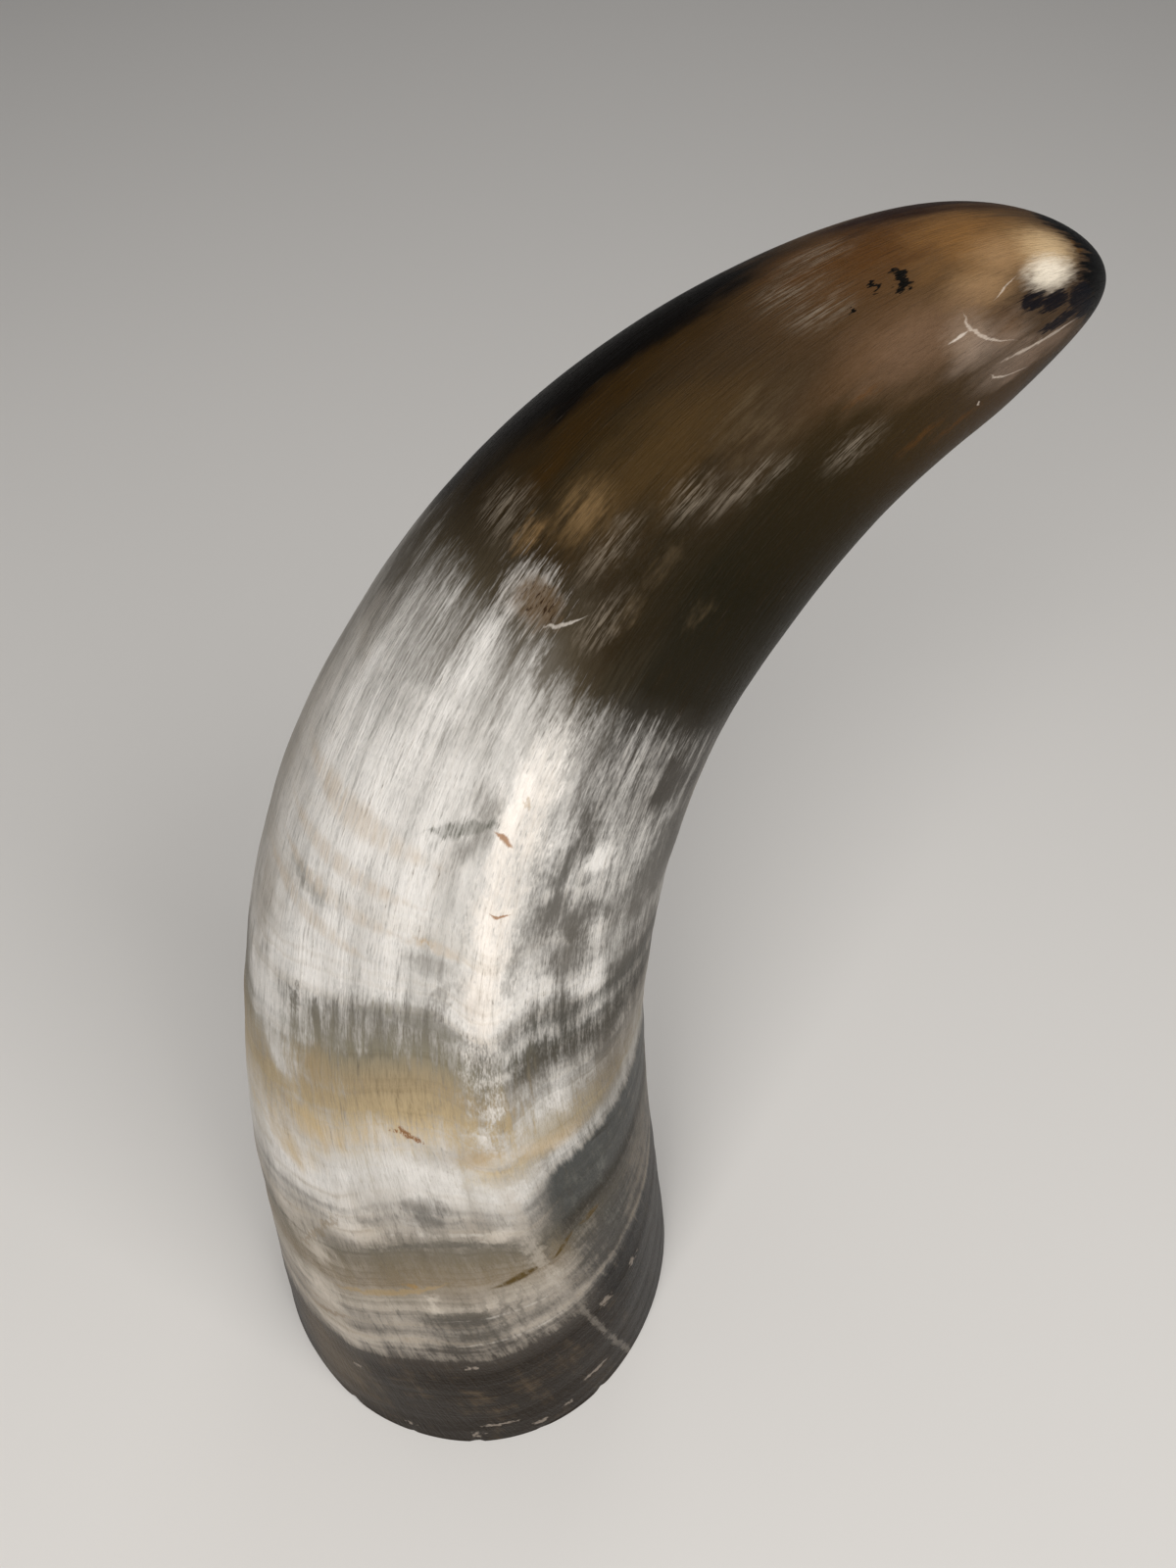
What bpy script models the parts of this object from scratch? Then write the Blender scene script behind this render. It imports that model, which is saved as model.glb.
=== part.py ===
"""A polished buffalo horn that stands upright on its sawn base.

The horn is one piece that grew in one piece: a sheath that is hollow from the base and solid towards
the tip. It is made in two steps. First its half section is turned into a straight, round taper about
the Z axis. Then the taper is made oval and bent, by carrying each of its points from the straight
axis to the same distance along the curved one. The curve lies in the XZ plane and leans to +X, and
it tightens towards the tip, as a horn's does.

The origin is on the floor, below the middle of the horn's bounding box.
"""

import math

import bmesh
import bpy
from mathutils import Vector

# Driving dimensions, in metres and radians.
AXIS_LENGTH = 0.237            # along the middle of the horn, from the base to the tip
BASE_RADIUS = 0.042            # mean outer radius at the sawn base
BEND = math.radians(98)        # how far the tip has turned away from upright
OVAL = 0.91                    # width in the plane of the bend over the width across it
RIM_WALL = 0.0075              # thickness of the sheath at the sawn base
CAVITY_LENGTH = 0.56 * AXIS_LENGTH

# The radius falls as 1 - STEADY_TAPER * u - LATE_TAPER * u ** LATE_POWER, where u is the share of
# the way along the axis, and the last TIP_SHARE of the length is rounded off.
STEADY_TAPER = 0.54
LATE_TAPER = 0.285
LATE_POWER = 2.8
TIP_SHARE = 0.09
TIP_POWER = 2.35
BEND_POWER = 3                 # the lean grows with the cube of the way along the axis
CAVITY_POWER = 1.3             # the hollow's taper, and
CAVITY_ROUNDING = 0.6          # how bluntly it ends
EDGE = 0.0008                  # the sawn edges are eased by this much

SIDES = 48
OUTER_RINGS = 36
TIP_RINGS = 8
CAVITY_RINGS = 18
AXIS_STEPS = 60                # steps in which the curved axis is added up


def outer_radius(distance):
    """Mean outer radius at this distance along the axis."""
    share = distance / AXIS_LENGTH
    radius = BASE_RADIUS * (1 - STEADY_TAPER * share - LATE_TAPER * share ** LATE_POWER)
    into_tip = max(0.0, (share - 1 + TIP_SHARE) / TIP_SHARE)
    return radius * math.sqrt(max(0.0, 1 - into_tip ** TIP_POWER))


def cavity_radius(distance):
    """Mean radius of the hollow at this distance along the axis."""
    share = distance / CAVITY_LENGTH
    return (BASE_RADIUS - RIM_WALL) * max(0.0, 1 - share ** CAVITY_POWER) ** CAVITY_ROUNDING


def half_section():
    """Points (radius, distance), from the tip down the outside, over the rim and up the hollow."""
    body_end = AXIS_LENGTH * (1 - TIP_SHARE)
    # The rings close up where the tip and the hollow round off.
    tip = [body_end + AXIS_LENGTH * TIP_SHARE * math.cos(math.radians(90) * i / TIP_RINGS)
           for i in range(TIP_RINGS)]
    body = [body_end * (1 - i / OUTER_RINGS) for i in range(OUTER_RINGS)]
    hollow = [CAVITY_LENGTH * math.sin(math.radians(90) * i / CAVITY_RINGS)
              for i in range(1, CAVITY_RINGS + 1)]
    points = [(outer_radius(d), d) for d in tip + body]
    points.append((BASE_RADIUS, EDGE))
    points.append((BASE_RADIUS - EDGE, 0.0))
    points.append((BASE_RADIUS - RIM_WALL + EDGE, 0.0))
    points.append((BASE_RADIUS - RIM_WALL, EDGE))
    points += [(cavity_radius(d), d) for d in hollow]
    return points


def lean(distance):
    """Angle between the curved axis and upright at this distance along it."""
    return BEND * (distance / AXIS_LENGTH) ** BEND_POWER


def axis_point(distance):
    """Where the curved axis is at this distance along it."""
    step = distance / AXIS_STEPS
    angles = [lean((i + 0.5) * step) for i in range(AXIS_STEPS)]
    return Vector((sum(map(math.sin, angles)), 0.0, sum(map(math.cos, angles)))) * step


def bend(point):
    """Carry a point of the straight taper, round about Z, to its place on the oval, curved horn."""
    angle = lean(point.z)
    inward = Vector((math.cos(angle), 0.0, -math.sin(angle)))
    across = Vector((0.0, 1.0, 0.0))
    in_plane, cross = math.sqrt(OVAL), 1 / math.sqrt(OVAL)
    return axis_point(point.z) + inward * point.x * in_plane + across * point.y * cross


def make_horn():
    """Turn the half section, then bend it, and set its box's middle over the origin."""
    mesh = bmesh.new()
    section = [mesh.verts.new((radius, 0.0, distance)) for radius, distance in half_section()]
    edges = [mesh.edges.new(pair) for pair in zip(section, section[1:])]
    bmesh.ops.spin(mesh, geom=section + edges, cent=(0, 0, 0), axis=(0, 0, 1),
                   angle=math.radians(360), steps=SIDES, use_merge=True)
    bmesh.ops.remove_doubles(mesh, verts=mesh.verts, dist=1e-6)
    for vert in mesh.verts:
        vert.co = bend(vert.co)
    across = [vert.co.x for vert in mesh.verts]
    middle = (min(across) + max(across)) / 2
    bmesh.ops.translate(mesh, verts=mesh.verts, vec=(-middle, 0, 0))
    bmesh.ops.recalc_face_normals(mesh, faces=mesh.faces)
    bmesh.ops.triangulate(mesh, faces=mesh.faces)

    data = bpy.data.meshes.new("horn")
    mesh.to_mesh(data)
    mesh.free()
    data.shade_smooth()
    data.set_sharp_from_angle(angle=math.radians(40))
    data.materials.append(horn_material())
    horn = bpy.data.objects.new("horn", data)
    bpy.context.collection.objects.link(horn)
    return horn


def horn_material():
    """Polished horn, the middle of its range from near black to cream."""
    material = bpy.data.materials.new("horn")
    material.use_nodes = True
    shader = material.node_tree.nodes["Principled BSDF"]
    shader.inputs["Base Color"].default_value = (0.16, 0.13, 0.10, 1)
    shader.inputs["Roughness"].default_value = 0.35
    shader.inputs["Metallic"].default_value = 0.0
    return material


for old in list(bpy.data.objects):
    bpy.data.objects.remove(old, do_unlink=True)
make_horn()
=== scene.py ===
# %% [markdown]
# # A polished buffalo horn, standing on its sawn base
#
# A buffalo's horn is a sheath of keratin, the stuff of nails and hooves, that grew over a core of bone.
# This one was sawn off its head, the bone was drawn out, and the sheath was ground and polished. It
# stands upright on the cut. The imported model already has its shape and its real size. This lesson
# makes a finer skin for it and then paints that skin with nodes: smoke-grey growth bands, a milky
# middle with combed fibres, a dark upper part with an old scar, and an amber tip with a black cap.

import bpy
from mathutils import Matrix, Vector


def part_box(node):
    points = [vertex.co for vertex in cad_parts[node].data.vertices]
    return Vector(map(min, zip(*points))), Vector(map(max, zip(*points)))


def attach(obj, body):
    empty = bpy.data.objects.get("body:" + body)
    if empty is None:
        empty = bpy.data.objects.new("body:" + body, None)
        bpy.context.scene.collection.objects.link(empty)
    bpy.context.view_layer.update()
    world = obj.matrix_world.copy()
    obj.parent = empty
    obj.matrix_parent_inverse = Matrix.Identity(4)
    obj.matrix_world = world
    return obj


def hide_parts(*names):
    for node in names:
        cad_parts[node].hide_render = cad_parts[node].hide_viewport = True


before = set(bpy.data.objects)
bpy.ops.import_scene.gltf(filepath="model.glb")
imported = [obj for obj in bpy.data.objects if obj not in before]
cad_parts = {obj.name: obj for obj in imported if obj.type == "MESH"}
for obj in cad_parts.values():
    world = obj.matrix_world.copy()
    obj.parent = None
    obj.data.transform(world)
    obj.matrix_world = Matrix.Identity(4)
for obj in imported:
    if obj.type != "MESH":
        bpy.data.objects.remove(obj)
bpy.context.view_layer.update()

# %% The other modules
import math

import bmesh
import bpy
import numpy as np
from mathutils import Matrix, Vector, noise

# %% [markdown]
# ## The horn's own sizes
#
# The skin has to lie exactly on the imported model, so it repeats the model's driving dimensions. What
# the imported model can tell is read from it: the middle of the base lies one half-width in from the
# low side of the box.

# %% Driving dimensions, in metres and radians
AXIS_LENGTH = 0.237
BASE_RADIUS = 0.042
BEND = math.radians(98)
OVAL = 0.91
RIM_WALL = 0.0075
CAVITY_LENGTH = 0.56 * AXIS_LENGTH
STEADY_TAPER, LATE_TAPER, LATE_POWER = 0.54, 0.285, 2.8
TIP_SHARE, TIP_POWER = 0.09, 2.35
BEND_POWER = 3
CAVITY_POWER, CAVITY_ROUNDING = 1.3, 0.6
EDGE = 0.0008

horn_low, horn_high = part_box("horn")
IN_PLANE, ACROSS = math.sqrt(OVAL), 1 / math.sqrt(OVAL)
base_middle = Vector((horn_low.x + BASE_RADIUS * IN_PLANE, 0.0, 0.0))
print("the base stands round", tuple(base_middle), "and the horn is", horn_high.z, "m high")

# %% [markdown]
# ## The camera
#
# The horn is seen from close above, over its near side, with the wide lens of a pocket camera. Being
# so close makes the tip, which leans towards the camera, look large beside the base. The place is
# given from the middle of the base, and the direction as a turn to the right and a tilt down.

# %% Camera
CAMERA_PLACE = Vector((-0.0082, -0.0985, 0.2537))
CAMERA_TURN = math.radians(19.07)
CAMERA_DOWN = math.radians(49.19)
CAMERA_LENS = 27.05            # millimetres, on a sensor 36 millimetres high

camera_data = bpy.data.cameras.new("camera")
camera_data.lens = CAMERA_LENS
camera_data.clip_start = 0.01
camera = bpy.data.objects.new("camera", camera_data)
camera.location = base_middle + CAMERA_PLACE
camera.rotation_euler = (math.radians(90) - CAMERA_DOWN, 0, -CAMERA_TURN)
bpy.context.collection.objects.link(camera)
bpy.context.scene.camera = camera
print("camera at", tuple(round(c, 4) for c in camera.location))

# %% [markdown]
# ## The floor and the light
#
# The floor is one plain pale sheet. The light is soft. Two panels stand on the near side, with a
# larger one high between them. Two weak ones behind the horn pick out its edges, and an even grey
# sky stands for the walls of a room. The view transform is the plain one, so that a colour given here
# comes out as that colour.

# %% Floor
def plain_material(name, colour, roughness):
    """A material of one colour, for what isn't part of the horn."""
    material = bpy.data.materials.new(name)
    material.use_nodes = True
    shader = material.node_tree.nodes["Principled BSDF"]
    shader.inputs["Base Color"].default_value = (*colour, 1)
    shader.inputs["Roughness"].default_value = roughness
    return material


FLOOR_SIZE = 6.0
FLOOR_COLOUR, FLOOR_ROUGHNESS = (0.735, 0.713, 0.686), 0.6
sheet = bmesh.new()
bmesh.ops.create_grid(sheet, x_segments=1, y_segments=1, size=FLOOR_SIZE / 2)
floor_mesh = bpy.data.meshes.new("floor")
sheet.to_mesh(floor_mesh)
sheet.free()
floor_mesh.materials.append(plain_material("pale floor", FLOOR_COLOUR, FLOOR_ROUGHNESS))
floor = bpy.data.objects.new("floor", floor_mesh)
bpy.context.collection.objects.link(floor)
print("floor", FLOOR_SIZE, "m wide")


# %% Light
def panel(name, place, size, power, colour):
    """A square soft light that faces the middle of the horn."""
    light = bpy.data.lights.new(name, "AREA")
    light.size = size
    light.energy = power
    light.color = colour
    lamp = bpy.data.objects.new(name, light)
    aim = Vector((0, 0, horn_high.z / 2)) - Vector(place)
    lamp.matrix_world = Matrix.Translation(place) @ aim.to_track_quat("-Z", "Y").to_matrix().to_4x4()
    bpy.context.collection.objects.link(lamp)


FRONT_WHITE, BACK_WHITE = (1.0, 0.985, 0.965), (1.0, 0.985, 0.97)
# Name, place and width in metres, power in watts, colour.
PANELS = [
    ("right front panel", (0.3, -0.52, 0.7), 0.36, 2.5, FRONT_WHITE),
    ("left front panel", (-0.42, -0.5, 0.62), 0.36, 3.7, FRONT_WHITE),
    ("high panel", (0.0, -0.8, 0.95), 0.6, 3.4, FRONT_WHITE),
    ("right panel", (0.5, 0.9, 0.9), 0.5, 1.0, BACK_WHITE),
    ("left panel", (-0.64, 0.76, 0.8), 0.5, 0.4, BACK_WHITE),
]
for row in PANELS:
    panel(*row)

SKY_COLOUR, SKY_STRENGTH = (0.98, 0.99, 1.0), 0.165
sky = bpy.data.worlds.new("room")
sky.use_nodes = True
sky.node_tree.nodes["Background"].inputs["Color"].default_value = (*SKY_COLOUR, 1)
sky.node_tree.nodes["Background"].inputs["Strength"].default_value = SKY_STRENGTH
bpy.context.scene.world = sky
bpy.context.scene.view_settings.view_transform = "Standard"

# %% [markdown]
# ## The half section
#
# Unbent, the horn is a turned thing: a taper with a rounded end, a flat sawn rim and a tapering
# hollow. Its half section is a row of points (radius, distance along the axis). The rings lie close
# together at the rim, where there will be chips, and at the tip, where the surface turns fast.

# %% Radii
def outer_radius(distance):
    """Mean outer radius at this distance along the axis."""
    share = distance / AXIS_LENGTH
    radius = BASE_RADIUS * (1 - STEADY_TAPER * share - LATE_TAPER * share ** LATE_POWER)
    into_tip = max(0.0, (share - 1 + TIP_SHARE) / TIP_SHARE)
    return radius * math.sqrt(max(0.0, 1 - into_tip ** TIP_POWER))


def cavity_radius(distance):
    """Mean radius of the hollow at this distance along the axis."""
    share = min(1.0, distance / CAVITY_LENGTH)
    return (BASE_RADIUS - RIM_WALL) * (1 - share ** CAVITY_POWER) ** CAVITY_ROUNDING


print("radius half way:", round(outer_radius(AXIS_LENGTH / 2), 4))

# %% Half section
SIDES = 256
TIP_RINGS, BODY_RINGS, RIM_RINGS = 32, 200, 26
RIM_ZONE = 0.012               # the stretch above the rim that has the closest rings
EDGE_RINGS, FACE_RINGS, CAVITY_RINGS = 4, 6, 44
QUARTER = math.radians(90)


def half_section():
    """Points (radius, distance), from the tip down the outside, over the rim and up the hollow."""
    body_end = AXIS_LENGTH * (1 - TIP_SHARE)
    tip = AXIS_LENGTH * TIP_SHARE
    distances = [body_end + tip * math.cos(QUARTER * i / TIP_RINGS) for i in range(TIP_RINGS)]
    distances += list(np.linspace(body_end, RIM_ZONE, BODY_RINGS, endpoint=False))
    distances += list(np.linspace(RIM_ZONE, EDGE, RIM_RINGS, endpoint=False))
    points = [(outer_radius(d), d) for d in distances]
    inner = BASE_RADIUS - RIM_WALL
    turns = [QUARTER * i / EDGE_RINGS for i in range(EDGE_RINGS + 1)]
    points += [(BASE_RADIUS - EDGE * (1 - math.cos(t)), EDGE * (1 - math.sin(t))) for t in turns]
    points += [(r, 0.0) for r in np.linspace(BASE_RADIUS - EDGE, inner + EDGE, FACE_RINGS)[1:-1]]
    points += [(inner + EDGE * (1 - math.sin(t)), EDGE * (1 - math.cos(t))) for t in turns]
    hollow = [CAVITY_LENGTH * math.sin(QUARTER * i / CAVITY_RINGS) for i in range(1, CAVITY_RINGS + 1)]
    points += [(cavity_radius(d), d) for d in hollow if d > EDGE * 2]
    return points


section = half_section()
print(len(section), "points in the half section")

# %% Turn it
turned = bmesh.new()
rings = [turned.verts.new((radius, 0.0, distance)) for radius, distance in section]
spans = [turned.edges.new(pair) for pair in zip(rings, rings[1:])]
bmesh.ops.spin(turned, geom=rings + spans, cent=(0, 0, 0), axis=(0, 0, 1),
               angle=math.radians(360), steps=SIDES, use_merge=True)
bmesh.ops.remove_doubles(turned, verts=turned.verts, dist=1e-7)
bmesh.ops.recalc_face_normals(turned, faces=turned.faces)
horn_mesh = bpy.data.meshes.new("horn_skin")
turned.to_mesh(horn_mesh)
turned.free()
print(len(horn_mesh.vertices), "vertices,", len(horn_mesh.polygons), "faces")

# %% [markdown]
# ## Two sets of coordinates for the paint
#
# The paint has to follow the surface, so every point keeps where it was on the straight taper. Two
# attributes hold that. `place` is a unit circle with the distance along the horn in millimetres: it
# says where a patch or a crack lies. `grain` is the same on a circle of the base's radius, but
# slowly twisted, because the fibres of a horn wind round it a little. Noise that is stretched along
# `grain` gives fibres. Neither has a join anywhere, because both are points on a round column and
# not an angle that starts again.

# %% Store them
MILLIMETRES = 1000
GRAIN_TWIST = math.radians(0.355)      # for each millimetre along
GRAIN_START = 95                       # the millimetre at which the pale seam faces the near side

straight = np.empty(len(horn_mesh.vertices) * 3)
horn_mesh.vertices.foreach_get("co", straight)
straight = straight.reshape(-1, 3)
along = straight[:, 2] * MILLIMETRES
# A turn of 0 faces -Y. It grows towards +X, the inside of the bend.
turn = np.arctan2(straight[:, 0], -straight[:, 1])
wind = turn + GRAIN_TWIST * (along - GRAIN_START)


def store(name, values):
    """Keep three numbers for each point of the skin, for its materials to read."""
    attribute = horn_mesh.attributes.new(name, "FLOAT_VECTOR", "POINT")
    attribute.data.foreach_set("vector", values.astype(np.float32).ravel())


store("place", np.stack([np.sin(turn), -np.cos(turn), along], axis=1))
grain_radius = BASE_RADIUS * MILLIMETRES
store("grain", np.stack([grain_radius * np.sin(wind), -grain_radius * np.cos(wind), along], axis=1))
print("the grain turns", round(math.degrees(GRAIN_TWIST) * AXIS_LENGTH * MILLIMETRES), "degrees in all")

# %% [markdown]
# ## Relief
#
# The surface isn't a smooth taper. Growth left low ridges that follow the growth lines and die away
# towards the tip. Over them lie slow lumps, the dent of an old scar with its raised lip, and the
# chips that the saw broke out of the outer edge. Inside, the wall is fluted where it lay on the
# bone. All of it is one change of radius for each point, made while the horn is still straight.

# %% Growth lines
LINE_TILT = (-3.0, 14.0, 3.5, -4.5, 0.8)      # mean, first and second waves round the horn, in mm
TILT_FROM, TILT_TO, TILT_LOST = 85, 170, 0.7  # over these millimetres they lose most of their tilt


def soft_step(values, low, high):
    """0 at low and 1 at high, with a soft rise between them."""
    share = np.clip((values - low) / (high - low), 0, 1)
    return share * share * (3 - 2 * share)


def noise_at(across, up, seed=0.0):
    """Noise round the column: across is its radius and up the distance, both in cells of the noise."""
    spots = zip(across * np.sin(turn) + seed, across * np.cos(turn), up)
    return np.array([noise.noise(Vector(spot)) for spot in spots])


waves = (LINE_TILT[0] + LINE_TILT[1] * np.sin(turn) + LINE_TILT[2] * np.cos(turn)
         + LINE_TILT[3] * np.sin(2 * turn) + LINE_TILT[4] * np.cos(2 * turn))
grown = along - waves * (1 - TILT_LOST * soft_step(along, TILT_FROM, TILT_TO))
print("growth lines climb", round(float(np.ptp(waves))), "mm round the base")

# %% Relief
RIDGE, RIDGE_STEP = 0.16, 6.5                 # height and spacing, in mm
RIDGE_FADE, RIDGE_LOST = (110, 190), 0.8      # over these millimetres they lose most of their height
LUMP, LUMP_STEP = 0.4, 26
SCAR = (-53, 173.6)                           # degrees round and mm along
SCAR_SIZE = (9, 2.6)                          # half width in degrees and half height in mm
SCAR_DENT, SCAR_LIP = 0.55, 0.3
RIM_CHIPS = [(-52, 1.6, 0.35), (-34, 1.2, 0.3), (-16, 1.6, 0.35), (2, 1.2, 0.3), (21, 1.6, 0.35),
             (74, 2.0, 0.5), (118, 1.3, 0.4), (163, 2.2, 0.6), (-140, 1.5, 0.4), (-97, 1.3, 0.35)]
FLUTE = 0.45
FLUTES_ROUND, FLUTE_LENGTH = 9.0, 60          # cells of noise round the wall, and their length in mm
TIP_POLISH = (218, 236)                       # the relief dies away over these millimetres

radial = np.hypot(straight[:, 0], straight[:, 1])
mean_outer = np.array([outer_radius(d) for d in straight[:, 2]])
inside = radial < mean_outer - EDGE * 1.5
degrees = np.degrees(turn)

ridges = noise_at(0.35, grown / RIDGE_STEP) + 0.5 * noise_at(0.6, grown / RIDGE_STEP * 2.7, 9.0)
change = RIDGE * ridges * (1 - RIDGE_LOST * soft_step(along, *RIDGE_FADE))
change += LUMP * noise_at(BASE_RADIUS * MILLIMETRES / LUMP_STEP, along / LUMP_STEP, 4.0)
from_scar = np.hypot((degrees - SCAR[0]) / SCAR_SIZE[0], (along - SCAR[1]) / SCAR_SIZE[1])
change += SCAR_LIP * np.exp(-((from_scar - 1.15) / 0.4) ** 2)
change -= SCAR_DENT * np.exp(-from_scar ** 2 * 1.6)
for chip_turn, chip_size, chip_depth in RIM_CHIPS:
    apart = (degrees - chip_turn + 180) % 360 - 180
    from_chip = np.hypot(apart * math.radians(BASE_RADIUS * MILLIMETRES), along) / chip_size
    change -= chip_depth * (1 - soft_step(from_chip, 0.3, 1.0))
flutes = noise_at(FLUTES_ROUND, along / FLUTE_LENGTH) + 0.6 * noise_at(26.0, along / 25, 3.0)
change = np.where(inside, FLUTE * flutes * soft_step(along, 0.5, 6), change)
change *= 1 - soft_step(along, *TIP_POLISH)
scale_by = 1 + change / MILLIMETRES / np.maximum(radial, 0.001)
straight[:, 0] *= scale_by
straight[:, 1] *= scale_by
reach = horn_mesh.attributes.new("reach", "FLOAT", "POINT")
reach.data.foreach_set("value", (radial * MILLIMETRES).astype(np.float32))
print("relief from", round(float(change.min()), 2), "to", round(float(change.max()), 2), "mm")

# %% Bend
BEND_STEPS = 2000


def bend(points):
    """Carry points of the straight taper to their places on the oval, curved horn."""
    distances = np.linspace(0, AXIS_LENGTH, BEND_STEPS)
    step = distances[1]
    leans = BEND * ((distances[:-1] + step / 2) / AXIS_LENGTH) ** BEND_POWER
    axis_x = np.concatenate([[0], np.cumsum(np.sin(leans)) * step])
    axis_z = np.concatenate([[0], np.cumsum(np.cos(leans)) * step])
    x, y, distance = points.T
    lean = BEND * (distance / AXIS_LENGTH) ** BEND_POWER
    sideways = x * IN_PLANE
    return np.stack([base_middle.x + np.interp(distance, distances, axis_x) + sideways * np.cos(lean),
                     y * ACROSS,
                     np.interp(distance, distances, axis_z) - sideways * np.sin(lean)], axis=1)


bent = bend(straight)
horn_mesh.vertices.foreach_set("co", bent.ravel())
horn_mesh.update()
horn_mesh.shade_smooth()
horn_mesh.set_sharp_from_angle(angle=math.radians(40))
horn = bpy.data.objects.new("horn_skin", horn_mesh)
bpy.context.collection.objects.link(horn)
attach(horn, "root")
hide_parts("horn")
print("the skin spans", bent.min(0), bent.max(0))

# %% [markdown]
# ## Arithmetic with sockets
#
# A pattern is a sum of many small rules: where this band starts, how wide that fibre is. Such rules
# read best as arithmetic. `Wire` wraps one output socket, and each operator adds the Math node that
# does it, so `1 - mask` or `mask * 0.5` can be written as they are. Every other kind of node comes
# from its `node` method.

# %% Wire
class Wire:
    """An output socket of a material's nodes that can be used in arithmetic."""

    def __init__(self, tree, socket=None):
        self.tree = tree
        self.socket = socket

    def node(self, kind, settings=None, inputs=None, output=0):
        """Add a node of this kind. Its settings come first, then its inputs' values or wires."""
        node = self.tree.nodes.new("ShaderNode" + kind)
        for name, value in (settings or {}).items():
            if name == "stops":
                set_stops(node.color_ramp.elements, value)
            else:
                setattr(node, name, value)
        for name, value in (inputs or {}).items():
            if isinstance(value, Wire):
                self.tree.links.new(value.socket, node.inputs[name])
            else:
                node.inputs[name].default_value = value
        return Wire(self.tree, node.outputs[output])

    def maths(self, operation, *values):
        """A Math node of these values, in order."""
        return self.node("Math", {"operation": operation}, dict(enumerate(values)))

    def __add__(self, other):
        return self.maths("ADD", self, other)

    def __sub__(self, other):
        return self.maths("SUBTRACT", self, other)

    def __rsub__(self, other):
        return self.maths("SUBTRACT", other, self)

    def __mul__(self, other):
        return self.maths("MULTIPLY", self, other)

    def __truediv__(self, other):
        return self.maths("DIVIDE", self, other)

    def __pow__(self, other):
        return self.maths("POWER", self, other)

    def __abs__(self):
        return self.maths("ABSOLUTE", self)

    __radd__ = __add__
    __rmul__ = __mul__

    def step(self, low, high):
        """0 at low and 1 at high, with a soft rise between them. It falls if low is above high."""
        return self.node("MapRange", {"interpolation_type": "SMOOTHSTEP"},
                         {"Value": self, "From Min": low, "From Max": high})

    def either(self, other):
        """The greater of two masks."""
        return self.maths("MAXIMUM", self, other)


def set_stops(elements, stops):
    """Give a colour ramp these (position, colour) stops."""
    while len(elements) < len(stops):
        elements.new(0.5)
    for element, (position, colour) in zip(elements, stops):
        element.position = position
        element.color = (*colour, 1)


def tint(red, green, blue):
    """A colour given as it shows on a screen, 0 to 255, as the linear values that nodes take."""
    shares = [value / 255 for value in (red, green, blue)]
    return tuple(s / 12.92 if s <= 0.04045 else ((s + 0.055) / 1.055) ** 2.4 for s in shares)


print("mid grey is", round(tint(128, 128, 128)[0], 3), "in linear light")

# %% [markdown]
# ## Reading the place and the grain
#
# From the stored coordinates come four numbers: the turn round the horn in degrees, with 0 facing the
# near side, the distance along it in millimetres, the turn as the twisted grain counts it, and the
# growth, which is the distance along with the waves of the growth lines taken out. Growth lines
# aren't level: they climb from the outside of the bend to the inside, and they dip at the pale seam.

# %% Surface
skin = bpy.data.materials.new("polished horn")
skin.use_nodes = True
bench = Wire(skin.node_tree)


def colour_mix(factor, under, over, blend="MIX"):
    """Lay one colour over another."""
    inputs = {0: factor}
    for index, colour in ((6, under), (7, over)):
        inputs[index] = colour if isinstance(colour, Wire) else (*colour, 1)
    return bench.node("Mix", {"data_type": "RGBA", "blend_type": blend}, inputs, output=2)


def stretch(vector, x, y, z):
    """Scale a vector along each axis."""
    return bench.node("VectorMath", {"operation": "MULTIPLY"}, {0: vector, 1: (x, y, z)})


def shift(vector, amount):
    """Move a vector by another."""
    return bench.node("VectorMath", {"operation": "ADD"}, {0: vector, 1: amount})


GAIN = 2.5                     # makes noise reach about as far as -0.5 and 0.5


def cloud(vector, scale, detail=3.0, roughness=0.5):
    """Noise around zero, mostly between -0.5 and 0.5."""
    return (bench.node("TexNoise", {}, {"Vector": vector, "Scale": scale, "Detail": detail,
                                        "Roughness": roughness}) - 0.5) * GAIN


def turn_of(vector):
    """Degrees round the column that a vector lies on, from -180 to 180."""
    apart = bench.node("SeparateXYZ", {}, {0: vector})
    x, y = apart, Wire(bench.tree, apart.socket.node.outputs[1])
    radians = bench.node("Math", {"operation": "ARCTAN2"}, {0: x, 1: y * -1})
    return radians * math.degrees(1)


place = bench.node("Attribute", {"attribute_name": "place"}, {}, output=1)
grain = bench.node("Attribute", {"attribute_name": "grain"}, {}, output=1)
turn_angle = turn_of(place)
seam_angle = turn_of(grain)
distance = bench.node("SeparateXYZ", {}, {0: place}, output=2)
print("the material reads", turn_angle.socket.node.name, "and", distance.socket.node.name)

# %% Fibres
hair = cloud(stretch(grain, 1, 1, 0.13), 2.0, 3.0, 0.6)          # the finest combed lines
strand = cloud(stretch(grain, 1, 1, 0.12), 0.7, 3.0, 0.6)        # bundles of them
streak = cloud(stretch(grain, 1, 1, 0.2), 0.2, 3.0, 0.5)         # broad streaks
speck = cloud(stretch(grain, 1, 1, 0.4), 2.6, 2.0, 0.6)          # short dashes
drift = cloud(grain, 0.045, 2.0, 0.5)                            # slow changes, 2 cm across
mottle = cloud(grain, 0.28, 4.0, 0.6)                            # small irregular patches
blotch = cloud(stretch(grain, 1, 1, 0.4), 0.13, 3.0, 0.55)       # larger ones, longer along the grain
print("the paint has", len(bench.tree.nodes), "nodes so far")

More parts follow.
